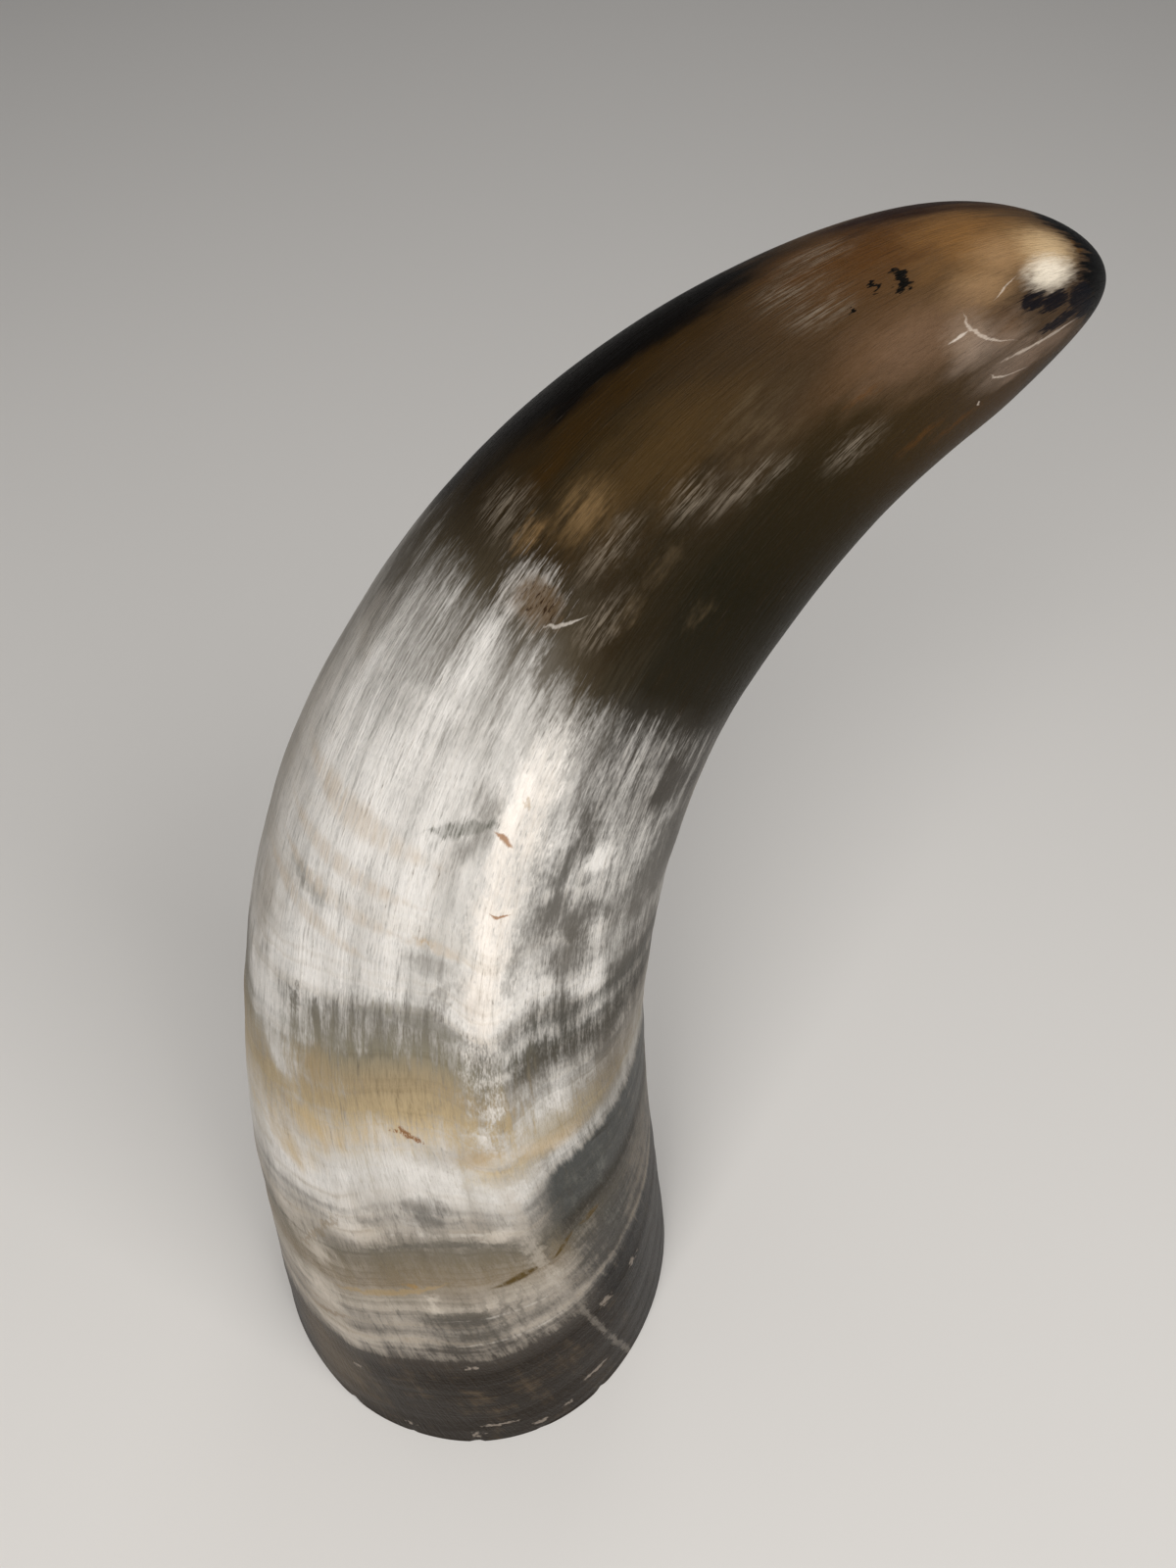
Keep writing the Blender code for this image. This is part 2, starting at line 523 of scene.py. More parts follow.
# %% Growth
SEAM_DIP, SEAM_DIP_WIDTH = 4.5, 15            # mm and degrees
HUMP, HUMP_PLACE, HUMP_WIDTH = 3.0, -27, 22   # the growth lines arch up beside the seam
radian_turn = turn_angle * math.radians(1)
sine = bench.maths("SINE", radian_turn)
cosine = bench.maths("COSINE", radian_turn)
tilt = (LINE_TILT[0] + LINE_TILT[1] * sine + LINE_TILT[2] * cosine
        + 2 * LINE_TILT[3] * sine * cosine + LINE_TILT[4] * (2 * cosine * cosine - 1))
tilt_share = 1 - distance.step(TILT_FROM, TILT_TO) * TILT_LOST
seam_dip = SEAM_DIP * abs(seam_angle).step(SEAM_DIP_WIDTH, 0) * distance.step(40, 80)
hump = HUMP * abs(turn_angle - HUMP_PLACE).step(HUMP_WIDTH, 0) * distance.step(140, 100)
# The far side, out of sight of the camera, grew less evenly.
NEAR_MIDDLE, HIDDEN_FROM, HIDDEN_TO = 32, 75, 125
hidden = abs(bench.maths("WRAP", turn_angle + NEAR_MIDDLE, 180, -180)).step(HIDDEN_FROM, HIDDEN_TO)
level = distance - tilt * tilt_share + seam_dip - hump + drift * (1.6 + hidden * 9)
growth = level + mottle * 0.6 + strand * 0.9 + hair * 0.7
ALONG_ONLY = {"noise_dimensions": "1D"}
lines = (bench.node("TexNoise", ALONG_ONLY, {"W": level + mottle * 0.5 + hair * 0.35, "Scale": 0.3,
                                             "Detail": 3.0, "Roughness": 0.65}) - 0.5) * GAIN
lines = lines * (drift * 0.8 + mottle * 0.5 + 0.75)

# %% [markdown]
# ## Clear horn and milk
#
# Two things make the colours of a horn. The horn itself is clear and stained: near black, brown or
# khaki. In it lie fibres that have gone milky with air and show white. So the paint has a ramp for
# the stain along the growth, and a ramp for how much milk there is. The milk isn't blended in
# evenly. Where its share is a half, half of the fibres are white, which is what gives every pale
# patch its combed edge. Left and right of the seam grew unlike each other, so each has its ramps.

# %% Ramps along the growth, as (millimetre, screen colour) and (millimetre, share of milk)
LEFT_STAIN = [
    (0, (32, 24, 15)), (32, (32, 24, 15)), (39, (66, 60, 54)), (47, (88, 83, 76)), (54, (84, 79, 72)),
    (60, (116, 108, 94)), (66, (122, 108, 86)), (72, (112, 102, 84)), (77, (104, 98, 87)),
    (81, (122, 116, 107)), (86, (104, 101, 96)), (92, (160, 153, 144)), (98, (198, 182, 152)),
    (103, (190, 170, 136)), (109, (172, 153, 119)), (116, (152, 136, 108)), (121, (124, 118, 102)),
    (128, (108, 104, 97)), (133, (144, 140, 134)), (150, (140, 137, 131)), (163, (126, 121, 114)),
    (170, (98, 92, 83)), (175, (66, 58, 45)), (180, (42, 33, 19)), (190, (38, 30, 16)),
    (203, (60, 46, 30)), (212, (80, 58, 36)), (222, (94, 72, 48)), (237, (74, 56, 40)),
]
RIGHT_STAIN = [
    (0, (20, 15, 10)), (40, (20, 15, 10)), (46, (66, 62, 57)), (60, (74, 70, 64)), (67, (78, 72, 60)),
    (72, (50, 45, 36)), (77, (66, 66, 63)), (90, (70, 71, 69)), (95, (128, 122, 112)),
    (101, (160, 146, 120)), (106, (148, 137, 118)), (112, (118, 113, 105)), (119, (74, 70, 62)),
    (126, (82, 80, 74)), (131, (98, 94, 88)), (140, (102, 98, 92)), (150, (98, 95, 90)),
    (165, (70, 66, 61)), (174, (34, 30, 21)), (186, (28, 24, 13)), (198, (38, 30, 15)),
    (208, (52, 39, 20)), (220, (68, 53, 38)), (237, (76, 60, 46)),
]
LEFT_MILK = [
    (0, 0), (35, 0), (40, 0.34), (45, 0.6), (49, 0.4), (53, 0.5), (58, 0.6), (62, 0.44), (66, 0.22),
    (73, 0.16), (78, 0.24), (81, 0.5), (85, 0.55), (90, 0.8), (96, 1.0), (100, 0.78), (105, 0.5),
    (110, 0.2), (118, 0.12), (123, 0.24), (128, 0.4), (131, 0.85), (136, 0.92), (152, 0.92),
    (160, 0.78), (167, 0.62), (171, 0.48), (175, 0.28), (180, 0.08), (184, 0),
]
RIGHT_MILK = [
    (0, 0), (40, 0), (45, 0.46), (49, 0.36), (54, 0.42), (60, 0.38), (64, 0.3), (69, 0.14), (74, 0.06),
    (89, 0.1), (94, 0.68), (100, 0.6), (104, 0.66), (109, 0.85), (114, 0.62), (118, 0.26),
    (122, 0.22), (124.5, 0.55), (127, 0.26), (130, 0.34), (132, 0.72), (137, 0.68), (141, 0.5),
    (146, 0.36), (152, 0.54), (158, 0.5), (164, 0.4), (169, 0.26), (173, 0.12), (178, 0),
]
TOTAL = AXIS_LENGTH * MILLIMETRES


def ramp(stops):
    """Colours along the growth."""
    return bench.node("ValToRGB", {"stops": [(mm / TOTAL, colour) for mm, colour in stops]},
                      {0: growth / TOTAL})


def stain(stops):
    """The stain's ramp, from screen colours."""
    return ramp([(mm, tint(*colour)) for mm, colour in stops])


def share(stops):
    """The milk's ramp, as a number."""
    return bench.node("RGBToBW", {}, {0: ramp([(mm, (part,) * 3) for mm, part in stops])})


from_seam = bench.maths("SINE", seam_angle * math.radians(1))
side_edge = from_seam + streak * 0.14 + strand * 0.08 + hair * 0.06
side = side_edge.step(-0.08, 0.22)
stain_colour = colour_mix(side, stain(LEFT_STAIN), stain(RIGHT_STAIN))
left_milk, right_milk = share(LEFT_MILK), share(RIGHT_MILK)
milk_share = left_milk + (right_milk - left_milk) * side

# %% [markdown]
# ## Patches and cracks, one by one
#
# What happened to this one horn is placed one by one: each patch is an oval round a point, given as
# degrees round, millimetres along, and its half-width and half-height in the same units. Noise is
# added to the place before it is measured, so no oval looks like one. A crack is a thin curve that
# tapers to both ends.

# %% Patch and crack
DEGREES = math.degrees(1)
spread = stretch(place, DEGREES, DEGREES, 1)


def ragged(scale, turn_amount, along_amount):
    """The place with noise added, for irregular outlines."""
    sockets = {"Vector": grain, "Scale": scale, "Detail": 3.0}
    noise_colour = bench.node("TexNoise", {}, sockets, output=1)
    centred = shift(noise_colour, (-0.5, -0.5, -0.5))
    moved = stretch(centred, turn_amount, turn_amount, along_amount)
    return bench.node("VectorMath", {"operation": "ADD"}, {0: spread, 1: moved})


soft_place = ragged(0.2, 20, 9)
fine_place = ragged(0.9, 8, 2.2)
FINE_BELOW = 6                 # mm: a patch less high than this has the finer outline


def patch(turn, mm, width, height, soft=0.8, where=None):
    """1 in the middle of an oval patch and 0 outside it. soft is how much of its radius fades."""
    angle = math.radians(turn)
    centre = (DEGREES * math.sin(angle) / width, -DEGREES * math.cos(angle) / width, mm / height)
    where = where or (fine_place if height < FINE_BELOW else soft_place)
    scaled = stretch(where, 1 / width, 1 / width, 1 / height)
    apart = bench.node("VectorMath", {"operation": "SUBTRACT"}, {0: scaled, 1: centre})
    far = bench.node("VectorMath", {"operation": "LENGTH"}, {0: apart}, output=1)
    return far.step(1, 1 - soft)


def patches(ovals, soft=0.8, where=None):
    """Several ovals as one mask."""
    mask = patch(*ovals[0], soft, where)
    for oval in ovals[1:]:
        mask = mask.either(patch(*oval, soft, where))
    return mask


wander = cloud(grain, 0.5, 4.0, 0.6)


def crack(turn, mm, reach, slope, curve, width, rough=0.5):
    """A thin curve across the grain. slope is in mm a degree, and curve in mm a degree squared."""
    away = turn_angle - turn
    middle = mm + slope * away + curve * away * away + wander * rough
    taper = (1 - (away / reach) ** 2) * width
    return (taper - abs(distance - middle)).step(0, width * 0.7)


def split(turn, mm, reach, slope, curve, width, rough=2.0):
    """A thin curve along the grain. slope is in degrees a mm, and width in degrees."""
    away = distance - mm
    middle = turn + slope * away + curve * away * away + wander * rough
    taper = (1 - (away / reach) ** 2) * width
    return (taper - abs(turn_angle - middle)).step(0, width * 0.7)


def cracks(curves, kind=crack):
    """Several cracks as one mask."""
    mask = kind(*curves[0])
    for curve in curves[1:]:
        mask = mask.either(kind(*curve))
    return mask


# %% Where the milk is thicker or thinner
MORE_MILK = [(-76, 109, 20, 11), (3, 153.5, 7, 3), (-52, 37, 16, 9), (-62, 66, 14, 10),
             (-40, 78, 13, 5), (-20, 61, 3, 6), (-66, 124, 17, 8), (-3, 80, 8, 3.4), (-44, 86, 12, 7),
             (-58, 84, 12, 6), (18, 131.5, 13, 2.4), (-8, 112, 4.5, 11), (120, 64, 26, 9),
             (-165, 122, 24, 10), (80, 84, 16, 6)]
MUCH_MILK = [(-76, 113, 26, 11), (-66, 106, 14, 8), (-56, 47, 12, 12), (-52, 63, 10, 8)]
LESS_MILK = [(-32, 152.5, 9, 9), (-5, 152, 7, 18), (4, 144.5, 11, 6), (-21, 87.5, 8, 6),
             (-102, 166, 12, 8), (18, 163, 10, 7), (-34, 114, 15, 8), (28, 84, 20, 11),
             (34, 150, 14, 22), (-14, 54, 16, 5), (-70, 134, 14, 2), (-64, 119, 2.5, 5),
             (-55, 118, 3, 6), (-30, 135, 12, 2.5), (8, 138, 17, 5), (30, 110, 20, 14),
             (36, 134, 18, 10), (-15, 45, 11, 5), (32, 60, 17, 18), (-25, 131, 4, 5), (6, 98, 10, 3.5),
             (-40, 170, 5, 3), (24, 104, 18, 8), (160, 150, 24, 13), (100, 106, 20, 8),
             (-150, 60, 20, 7), (-2, 96, 16, 5), (-12, 45, 15, 6), (-78, 80, 10, 10), (-15, 135, 9, 10)]
seam_width = distance.step(100, 160) * 3.8 + 2.8
seam_edge = abs(seam_angle + 1.5) + strand * 4 + hair * 2.5 + mottle * 5
seam_core = (seam_edge - seam_width).step(3.5, -3.5) * distance.step(98, 110) * distance.step(172, 156)
clear_ends = distance.step(168, 180) * 0.9 + (growth.step(40, 33) * 0.4)
milk_here = (milk_share + patches(MORE_MILK) * 0.4
             + patches(MUCH_MILK, 0.95) * 0.45 - patches(LESS_MILK) * 0.4 + blotch * 0.22 - clear_ends
             + seam_core * (blotch * 0.6 + speck * 0.4 + 0.38))
comb = hair * 0.4 + strand * 0.42 + speck * 0.28 + streak * 0.22
comb_strength = 0.6 + distance.step(100, 122) * 0.35
band_lines = lines * distance.step(135, 100) * 0.4
milk_mask = (milk_here + comb * comb_strength + band_lines).step(0.0, 1.02)

# %% The milk's colours
MILK_BEIGE, MILK_GREY = tint(200, 190, 177), tint(184, 181, 176)
MILK, MILK_WARM = tint(240, 236, 231), tint(243, 235, 226)
milk_tone = (comb * 1.0 + blotch * 0.5 + lines * 0.3 + milk_here * 0.5 + 0.08).step(-0.15, 1.1)
milk_white = colour_mix(milk_tone, MILK_GREY, colour_mix(seam_core, MILK, MILK_WARM))
milk_colour = colour_mix((growth + blotch * 8).step(94, 76), milk_white, MILK_BEIGE)
horn_colour = colour_mix(milk_mask, stain_colour, milk_colour)
print("the paint has", len(bench.tree.nodes), "nodes with its milk")

# %% [markdown]
# ## Lines over everything
#
# Growth lines, combing and slow blotches run through the clear horn and the milk alike. They could be
# mixed into every colour above, but it is simpler to multiply the finished colour by a darker one
# where they run. The two flanks are darkened in the same way, partly for their own browner colour
# and partly as painted shade where they turn away from the light.

# %% Growth lines and combing
def darken(factor, colour):
    """Multiply the horn's colour by another where the factor is high."""
    global horn_colour
    horn_colour = colour_mix(factor, horn_colour, colour, "MULTIPLY")


darken((lines * 0.9 + 0.15).step(0, 1) * distance.step(160, 125), (0.66, 0.63, 0.58))
darken((hair * 0.7 + strand * 0.5 + speck * 0.3 + 0.25).step(0, 1), (0.7, 0.69, 0.67))
darken((blotch * 0.7 + mottle * 0.5 + 0.2).step(0, 1) * distance.step(130, 90), (0.72, 0.7, 0.68))
# Both flanks are browner and darker than the near side: partly their own colour, partly painted shade
# where they turn away from the light.
FLANK_SHADE = [(46, 118, 26, 34), (46, 160, 24, 16), (50, 62, 28, 34), (-110, 140, 38, 54),
          (38, 111, 24, 20), (-89, 124, 18, 16), (-99, 160, 20, 11)]
darken(patches(FLANK_SHADE, 0.95) * 0.85, (0.5, 0.47, 0.43))

# %% [markdown]
# ## Stains and marks
#
# Over the bands lie the stains that this horn has and another wouldn't. Most are soft patches, so
# they are listed in rows and laid on in order by one function. The others need their own mask.

# %% How a stain is laid on
def cover(mask, colour):
    """Lay a screen colour over the horn where the mask is."""
    global horn_colour
    horn_colour = colour_mix(mask, horn_colour, tint(*colour))


def cover_rows(rows):
    """Lay on soft patches. A row gives their ovals, softness, strength and screen colour."""
    for ovals, soft, strength, colour in rows:
        cover(patches(ovals, soft) * strength, colour)


rough = hair * 0.7 + strand * 0.35 + speck * 0.35
patchy = (mottle + strand + 0.8).step(0, 1)

# %% Base and outside of the bend
# The base is smoky brown on the left and has worn, paler places all round.
worn = (blotch * 0.9 + mottle * 0.7 + strand * 0.4 + lines * 0.5 + 0.1).step(0, 1.1)
cover(worn * growth.step(40, 34) * (0.6 - side * 0.52 + hidden * 0.35), (94, 78, 58))
# The outside of the bend is near black, with a red-brown edge.
cover_rows([([(-58, 16, 22, 22)], 0.95, 0.35, (118, 102, 80)),
            ([(-90, 191, 17, 18), (-82, 184, 14, 10)], 0.9, 0.8, (50, 33, 8))])
# A brown patch round -58° over the dark part: partly the horn's brown, partly a painted sheen.
cover((patches([(-58, 188, 22, 16)], 0.95) + rough * 0.4) * 0.55, (78, 58, 30))
cover(patches([(-108, 191, 23, 20), (-122, 188, 24, 24)], 0.5), (7, 4, 2))

# %% Amber and brown of the upper part
AMBER = [
    ([(-86, 212, 32, 11)], 0.95, 0.9, (82, 52, 22)),
    ([(-74, 219, 30, 8)], 0.95, 0.9, (126, 90, 50)),
    ([(-62, 224.6, 23, 5.2)], 0.95, 0.75, (166, 132, 90)),
    ([(-46, 218, 16, 5.4), (-57, 220.5, 20, 4.6)], 0.95, 0.68, (158, 126, 90)),
    ([(-100, 224, 15, 11)], 0.9, 0.6, (58, 34, 13)),
    ([(24, 228, 15, 9)], 0.9, 0.8, (30, 25, 20)),
    ([(-108, 217, 17, 12)], 0.7, 1, (38, 15, 2)),
]
PINKISH_BROWN = [                # of the near side, below the amber
    ([(-36, 211, 24, 11)], 0.95, 0.75, (108, 84, 64)),
    ([(-28, 215, 17, 3.5)], 0.9, 0.6, (142, 122, 104)),
    ([(-22, 219, 11, 3)], 0.9, 0.4, (112, 82, 54)),
    ([(-20, 217.5, 18, 6), (-4, 220, 12, 8)], 0.95, 0.35, (152, 134, 120)),
    ([(-2, 224, 12, 7)], 0.8, 0.6, (120, 100, 84)),
]
cover_rows(AMBER + PINKISH_BROWN)
# Soft ochre and brown spots in the dark part.
cover(patches([(-68.5, 177, 5, 2.8)], 0.9) * patchy * 0.7, (130, 102, 66))
cover(patch(-62, 181.5, 11, 4.2, 0.95) * patchy * 0.7, (124, 99, 66))
BROWN_SPOTS = [(-14, 182, 4.5, 2.6), (-33, 183, 5, 3.5), (-46, 196, 18, 6), (-32, 178, 6, 3)]
cover(patches(BROWN_SPOTS, 0.95) * (mottle + strand + 0.5).step(0, 1) * 0.5, (88, 74, 54))
RUST_SPOTS = [(-31.5, 204.5, 2.5, 3), (0, 208, 3, 4.5), (8, 212, 2.5, 5)]
cover_rows([(RUST_SPOTS, 0.95, 0.4, (92, 58, 22))])

# %% Ochre and slate in the growth bands
OCHRE_BANDS = [
    ([(-62, 88, 12, 7), (-52, 98, 10, 6)], 0.95, 0.7, (186, 162, 120)),
    ([(-8, 101, 9, 3.2), (12, 100.5, 16, 4)], 0.95, 0.65, (184, 160, 122)),
    ([(-54, 109, 7, 8)], 0.95, 0.6, (152, 132, 98)),
    ([(12, 104, 14, 5)], 0.95, 0.5, (150, 134, 102)),
    ([(-56, 40, 18, 8)], 0.95, 0.4, (124, 112, 96)),
]
cover_rows(OCHRE_BANDS)
SMOKY = [(-34, 150, 10, 10), (12, 161, 10, 5), (-19, 132, 7, 6), (12, 127, 10, 4), (-14, 62, 14, 4),
         (-14, 102, 17, 5)]
darken(patches(SMOKY, 0.95) * 0.6, (0.68, 0.66, 0.64))
cover(crack(-33, 61.5, 20, 0.38, 0, 1.5, 1.5) * 0.6, (158, 134, 92))
cover_rows([([(-26, 66, 3, 1.2)], 0.9, 0.7, (150, 116, 56))])
# The dark crown of the hump, and the thin arcs below it.
crown = crack(-31, 126.8, 21, 0, -0.014, 3.4, 1.5)
cover((crown * 0.9 + rough * 1.3 - 0.5).step(0, 0.9) * 0.7, (94, 90, 74))
cover(crack(-17, 79.6, 27, 0.03, -0.0118, 1.3, 1.5) * (strand + 0.7).step(0, 1) * 0.7, (84, 80, 72))
PALE_ARCS = [(-16, 82.3, 26, 0.01, -0.0075, 0.7), (-2, 54.6, 20, 0.02, 0, 0.6),
             (0, 45.6, 20, 0.03, 0, 0.6), (-46, 93.5, 22, 0.3, 0, 0.6)]
cover(cracks(PALE_ARCS) * (strand + streak + 0.5).step(0, 1) * 0.5, (198, 191, 181))
SLATE = [(27, 84, 20, 12), (34, 60, 12, 14)]
cover(patches(SLATE, 0.95) * (mottle + rough + 0.3).step(0, 1.2) * 0.5, (124, 124, 117))
rungs = bench.maths("SINE", turn_angle * 1.35 + wander * 3 + drift * 3).step(0.35, 1.0)
cover(rungs * patches([(-3, 54, 22, 12), (12, 74, 14, 10)], 0.9) * 0.5, (82, 78, 70))
# Faint arcs of growth in the white.
FAINT_ARCS = [(-66, 145.6, 34, 0.03, 0.0006, 2.6), (-64, 139.6, 32, 0.05, 0.0008, 1.8),
              (-62, 135.2, 30, 0.05, 0.001, 1.5), (-70, 130.6, 30, 0.04, 0, 1.6),
              (-30, 137.4, 12, 0, -0.012, 1.2)]
cover(cracks(FAINT_ARCS) * (strand + 0.7).step(0, 1.2) * 0.6, (186, 170, 150))

# %% [markdown]
# ## Scuffs, the scar, the tip and the cracks
#
# These marks are sharper than the stains. Each could be cut into the mesh, but only the scar and the
# chips at the rim are deep enough to be seen in the outline, and those are in the relief already. The
# rest is colour: finely ragged patches for the scuffs, the scar and the tip, and curves for cracks.

# %% Scuffs
# Pale places, where the polish is worn through to the fibres.
SCUFFS = [(-92, 207.5, 11, 5), (-81, 204.3, 12, 4.6), (-67, 205, 11, 4), (-32, 192.5, 8, 6),
          (-42, 188.5, 8, 4), (-48.5, 181, 7, 5.4), (-17, 202, 7, 5), (-36, 176, 8, 5),
          (-80, 176.5, 16, 4), (150, 190, 12, 5.5), (112, 176, 10, 5), (-150, 205, 14, 5.5)]
scuff_mask = patches(SCUFFS, 1.0) * (rough * 1.7 + mottle * 0.5 + 0.45).step(0, 1.1)
cover(scuff_mask * 0.46, (152, 140, 124))

# %% The scar
scar_halo = patches([(SCAR[0] - 3, SCAR[1], 20, 6.0)], 0.9, fine_place) * 1.2 + rough * 1.1
cover((scar_halo - 0.5).step(0, 1.0) * 0.78, (186, 180, 173))
scar_middle = patches([(*SCAR, 10, 2.6)], 0.6, fine_place)
cover(scar_middle * (mottle * 0.8 + speck * 0.5 + 1.0).step(0, 1) * 0.9, (86, 68, 46))
scar_pits = patches([(*SCAR, 8, 2.0)], 0.4, fine_place) * (mottle + speck * 0.8) * 2
cover(scar_pits.step(0.05, 0.5) * 0.9, (44, 28, 12))
cover(cracks([(-44, 173.7, 4.5, 0.42, 0.03, 0.4)]) * 0.7, (186, 178, 168))

# %% The tip
cover(patches([(-56, 226, 22, 4.6)], 0.95, fine_place) * 0.8, (208, 180, 140))
cover(patches([(-43, 225.2, 15, 4.2)], 0.85, fine_place) * 0.9, (238, 226, 206))
brown_rim = patches([(-62, 230, 14, 1.2)], 0.7, fine_place) + rough * 0.8
cover((brown_rim - 0.3).step(0, 0.6) * 0.6, (96, 66, 30))
lift = abs(turn_angle + 58).step(26, 0) * 2.2
tip_line = 231.2 + 3.4 * sine + lift + wander * 3 + strand * 1.5 + hair * 0.8
cover((distance - tip_line).step(-1.0, 0.8), (3, 3, 4))
BLACK_MARKS = [(-31, 222.4, 7, 2.2), (-26, 225, 8, 3.2), (-22, 229, 15, 3), (-12.5, 226, 5, 4.6),
               (-10, 230, 10, 2.4)]
black_marks = patches(BLACK_MARKS, 0.6, fine_place) * 1.1 + rough * 1.0
cover((black_marks - 0.3).step(0, 0.7) * 0.92, (9, 11, 19))
FLECKS = [(-64.5, 211.9, 4.6, 0.6), (-59.8, 211.6, 3, 0.75), (-65, 209.6, 3.4, 0.3),
          (-60, 207, 1.2, 0.4)]
cover(patches(FLECKS, 0.3, fine_place), (10, 8, 5))

# %% Cracks
PALE_CRACKS = [(-27, 216.1, 13.5, 0.198, 0.011, 0.36), (0, 218.3, 6.5, 0.5, 0.035, 0.34),
               (-42, 219.7, 4.5, -0.4, 0, 0.26), (6, 215.1, 1.6, 0.1, 0, 0.3)]
PALE_CRACK_COLOUR = (200, 186, 172)
cover(cracks(PALE_CRACKS) * 0.58, PALE_CRACK_COLOUR)
cover(split(-6.5, 223.5, 6.5, 0.25, -0.03, 1.8) * 0.55, PALE_CRACK_COLOUR)
cover(split(-30.4, 214.1, 1.3, -0.5, 0, 1.0, 1.0) * 0.75, (206, 194, 182))
rust_breaks = (mottle * 2 + speck * 2 + hair).step(-0.3, 0.4)
cover(crack(-27, 106.2, 6.2, -0.16, -0.05, 1.0, 1.5) * rust_breaks * 0.9, (124, 82, 44))
RUST_CRACKS = [(-25.5, 153, 3.8, -0.17, -0.02, 0.5), (-18, 143.8, 3.4, 0.13, 0.05, 0.3)]
cover(cracks(RUST_CRACKS) * 0.85, (150, 108, 70))
smudge = crack(-36.5, 152, 11, 0.27, 0, 2.0, 1.2)
cover((smudge * 0.9 + rough * 1.1 - 0.3).step(0, 1.1) * smudge.step(0, 0.4) * 0.9, (66, 67, 55))
cover_rows([([(-24.3, 157.6, 1.6, 0.6), (-34, 137.6, 3.4, 0.8)], 0.9, 0.5, (168, 140, 96))])
OLIVE_CRACKS = [(2, 65.4, 8.5, 0.16, 0, 1.7), (15.5, 68.6, 4, 0.75, 0, 1.4),
                (24.5, 71.6, 4.6, 0.05, 0, 1.5)]
cover(cracks(OLIVE_CRACKS) * (mottle + strand + 0.9).step(0, 1), (80, 62, 22))
cover(split(-53, 70, 13, 0.75, 0, 1.6, 4.0) * 0.5, (128, 112, 88))
cover(crack(-55, 39.5, 10, 0.6, 0.01, 1.4, 2) * 0.5, (118, 98, 70))
cover(cracks([(36, 56.5, 7, 0.3, 0, 2), (31, 92.6, 7, -0.1, 0, 1.1)]) * 0.6, (44, 40, 33))

# %% The seam near the base, and the chips
seam_pale = (abs(seam_angle + 1.5) + wander * 4 + strand * 3).step(3.6, 0) * distance.step(99, 88)
cover(seam_pale * distance.step(43, 58) * 0.5, (182, 173, 161))
seam_crack = (abs(seam_angle) + wander * 1.6 + hair * 0.6).step(1.3, 0.3) * distance.step(58, 46)
cover(seam_crack * (mottle + 0.6).step(0, 0.8) * 0.5, (136, 128, 118))
CHIPS = [(-16, 4.5, 2.4, 2.2), (-9, 8.6, 7, 0.8), (20, 11.4, 7, 0.9), (2, 4.2, 3, 1.2),
         (10, 6, 1.5, 1.5), (-14, 36.5, 2.6, 0.9), (27, 36, 3, 1.8), (40, 36, 3, 2), (-34, 4.5, 2, 1),
         (-48, 22, 2, 1.2), (95, 14, 6, 1.2), (140, 30, 5, 1.6), (170, 6, 6, 1.4), (-130, 20, 5, 1.4)]
cover((patches(CHIPS, 0.7, fine_place) + rough * 0.4 - 0.1).step(0, 0.9) * 0.65, (152, 140, 128))
print("the paint has", len(bench.tree.nodes), "nodes with its marks")

# %% [markdown]
# ## The polish
#
# Polished horn has a dull gloss, a little duller where it is scuffed or milky. The gloss is set low,
# so that the soft panels lift the colour without hiding it. The fibres are also felt in the polish,
# as bumps a tenth of a millimetre high. They are too fine for the mesh, so a Bump node has them.

# %% The polished skin
def finish(material, colour, roughness, gloss, bump, bump_height):
    """Join a pattern to its material: colour, roughness and small bumps, their height in metres."""
    shader = material.node_tree.nodes["Principled BSDF"]
    bumps = bench.node("Bump", {}, {"Height": bump, "Distance": bump_height, "Strength": 1.0})
    for name, wire in (("Base Color", colour), ("Roughness", roughness), ("Normal", bumps)):
        material.node_tree.links.new(wire.socket, shader.inputs[name])
    shader.inputs["Specular IOR Level"].default_value = gloss
    horn_mesh.materials.append(material)
    print(material.name, "has", len(material.node_tree.nodes), "nodes")


SKIN_GLOSS, SKIN_BUMP = 0.035, 0.00012        # the bump's height is in metres
fine = hair * 0.5 + strand * 0.5 + speck * 0.3
skin_roughness = 0.34 + scuff_mask * 0.25 + milk_mask * 0.08 + mottle * 0.04
finish(skin, horn_colour, skin_roughness, SKIN_GLOSS, fine + lines * 0.4, SKIN_BUMP)

# %% [markdown]
# ## The sawn rim and the hollow
#
# The cut shows how the sheath grew: thin cones, one inside the other, seen here as rings, with the
# straight marks of the saw across them. The hollow is unpolished: brown-grey, fibrous and darker the
# deeper it goes. A second material paints both, on the faces that lie inside the outer wall.

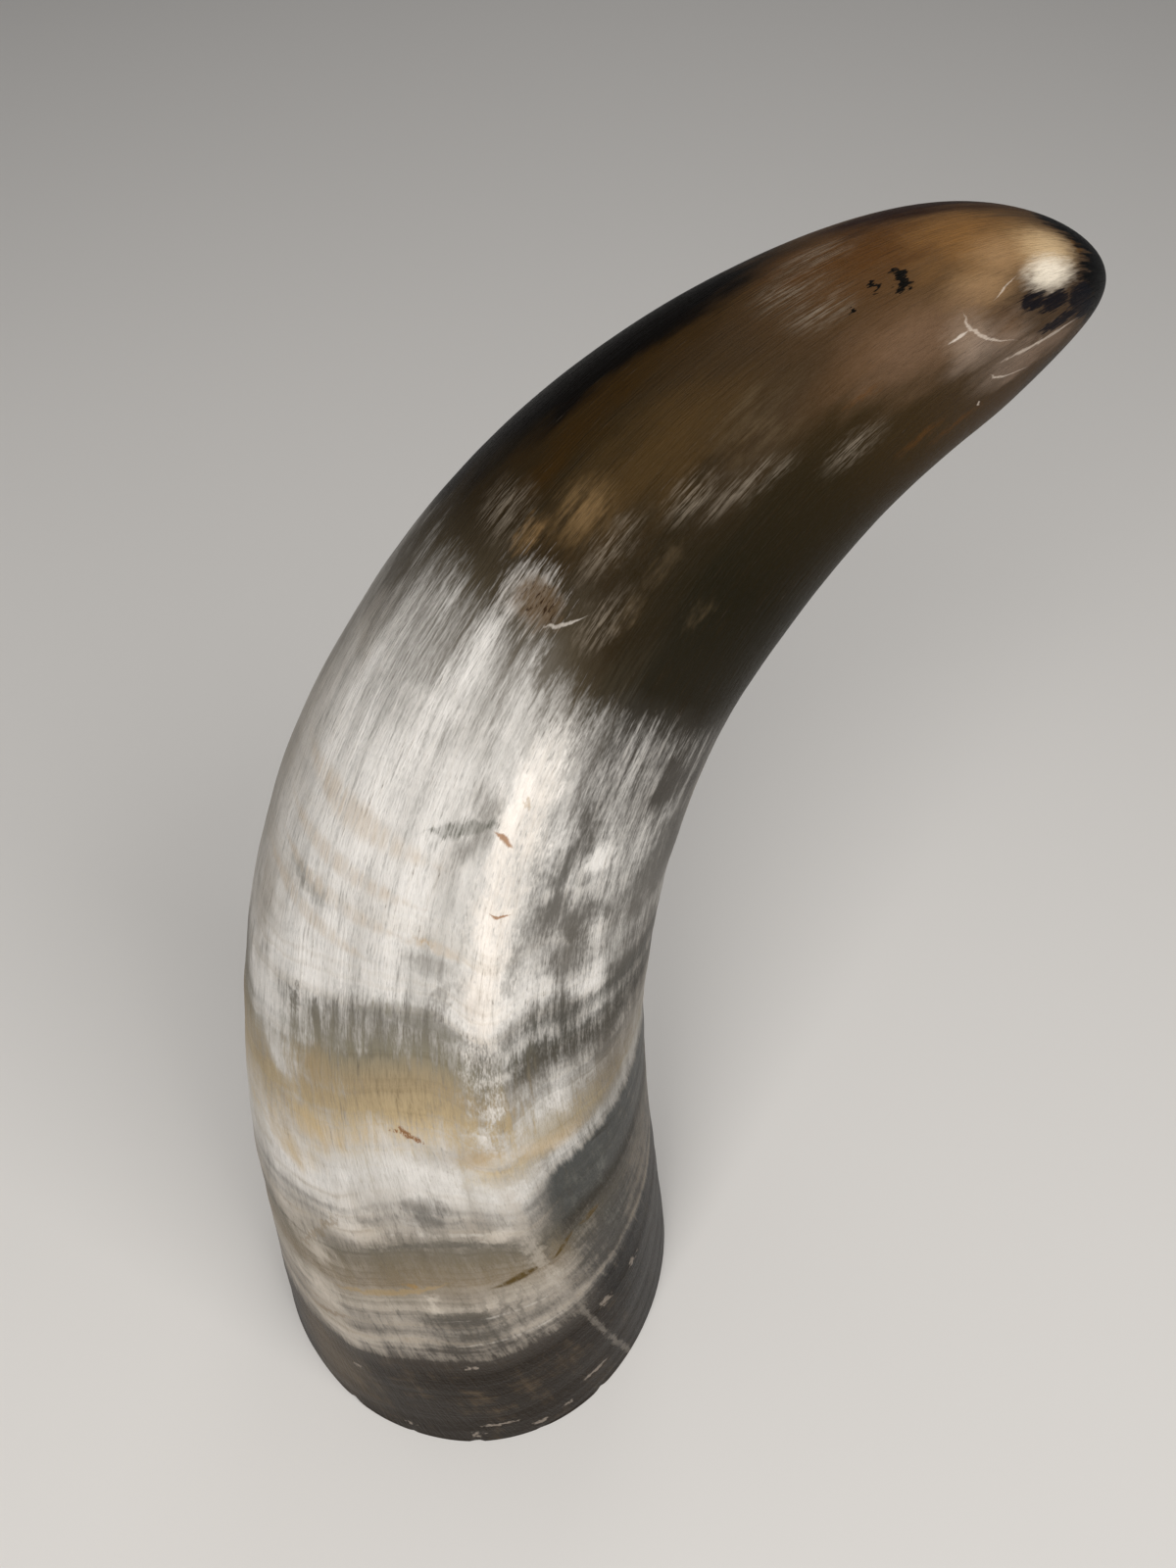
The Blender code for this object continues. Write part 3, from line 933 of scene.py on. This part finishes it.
# %% Rim and hollow
raw = bpy.data.materials.new("sawn rim and hollow")
raw.use_nodes = True
bench = Wire(raw.node_tree)
grain = bench.node("Attribute", {"attribute_name": "grain"}, {}, output=1)
wall = bench.node("Attribute", {"attribute_name": "reach"}, {}, output=2)
depth = bench.node("SeparateXYZ", {}, {0: grain}, output=2)
sides = bench.node("TexCoord", {}, {}, output=3)
flute = cloud(stretch(grain, 1, 1, 0.06), 0.5, 4.0, 0.6)
fibre = cloud(stretch(grain, 1, 1, 0.15), 1.8, 2.0, 0.5)
crumb = cloud(grain, 0.5, 4.0, 0.65)
saw = cloud(stretch(sides, 1600, 60, 0), 1.0, 2.0, 0.6)
rings = (bench.node("TexNoise", ALONG_ONLY, {"W": wall + crumb * 0.5, "Scale": 1.1,
                                             "Detail": 3.0}) - 0.5) * GAIN
rim_mask = depth.step(1.6, 0.5)
hollow_tone = (flute * 0.8 + fibre * 0.4 + crumb * 0.5 + 0.5 - depth.step(10, 120) * 0.35).step(0, 1)
hollow_colour = colour_mix(hollow_tone, tint(44, 36, 28), tint(136, 122, 102))
rim_tone = (rings * 0.7 + saw * 0.35 + crumb * 0.3 + wall.step(41.5, 36) * 0.35 + 0.3).step(0, 1)
rim_colour = colour_mix(rim_tone, tint(50, 45, 40), tint(142, 132, 118))
raw_colour = colour_mix(rim_mask, hollow_colour, rim_colour)
RAW_GLOSS, RAW_BUMP = 0.2, 0.0003
finish(raw, raw_colour, 0.62 + crumb * 0.1, RAW_GLOSS, flute + fibre * 0.4 + rings * 0.5, RAW_BUMP)

# %% Which faces
loops = np.empty(len(horn_mesh.loops), dtype=np.int32)
horn_mesh.loops.foreach_get("vertex_index", loops)
starts = np.empty(len(horn_mesh.polygons), dtype=np.int32)
horn_mesh.polygons.foreach_get("loop_start", starts)
rim_face = (along[loops[starts]] < 0.05) & (radial[loops[starts]] < BASE_RADIUS - EDGE * 0.9)
slots = np.where(inside[loops[starts]] | rim_face, 1, 0).astype(np.int32)
horn_mesh.polygons.foreach_set("material_index", slots)
print(int(slots.sum()), "faces of", len(slots), "are unpolished")
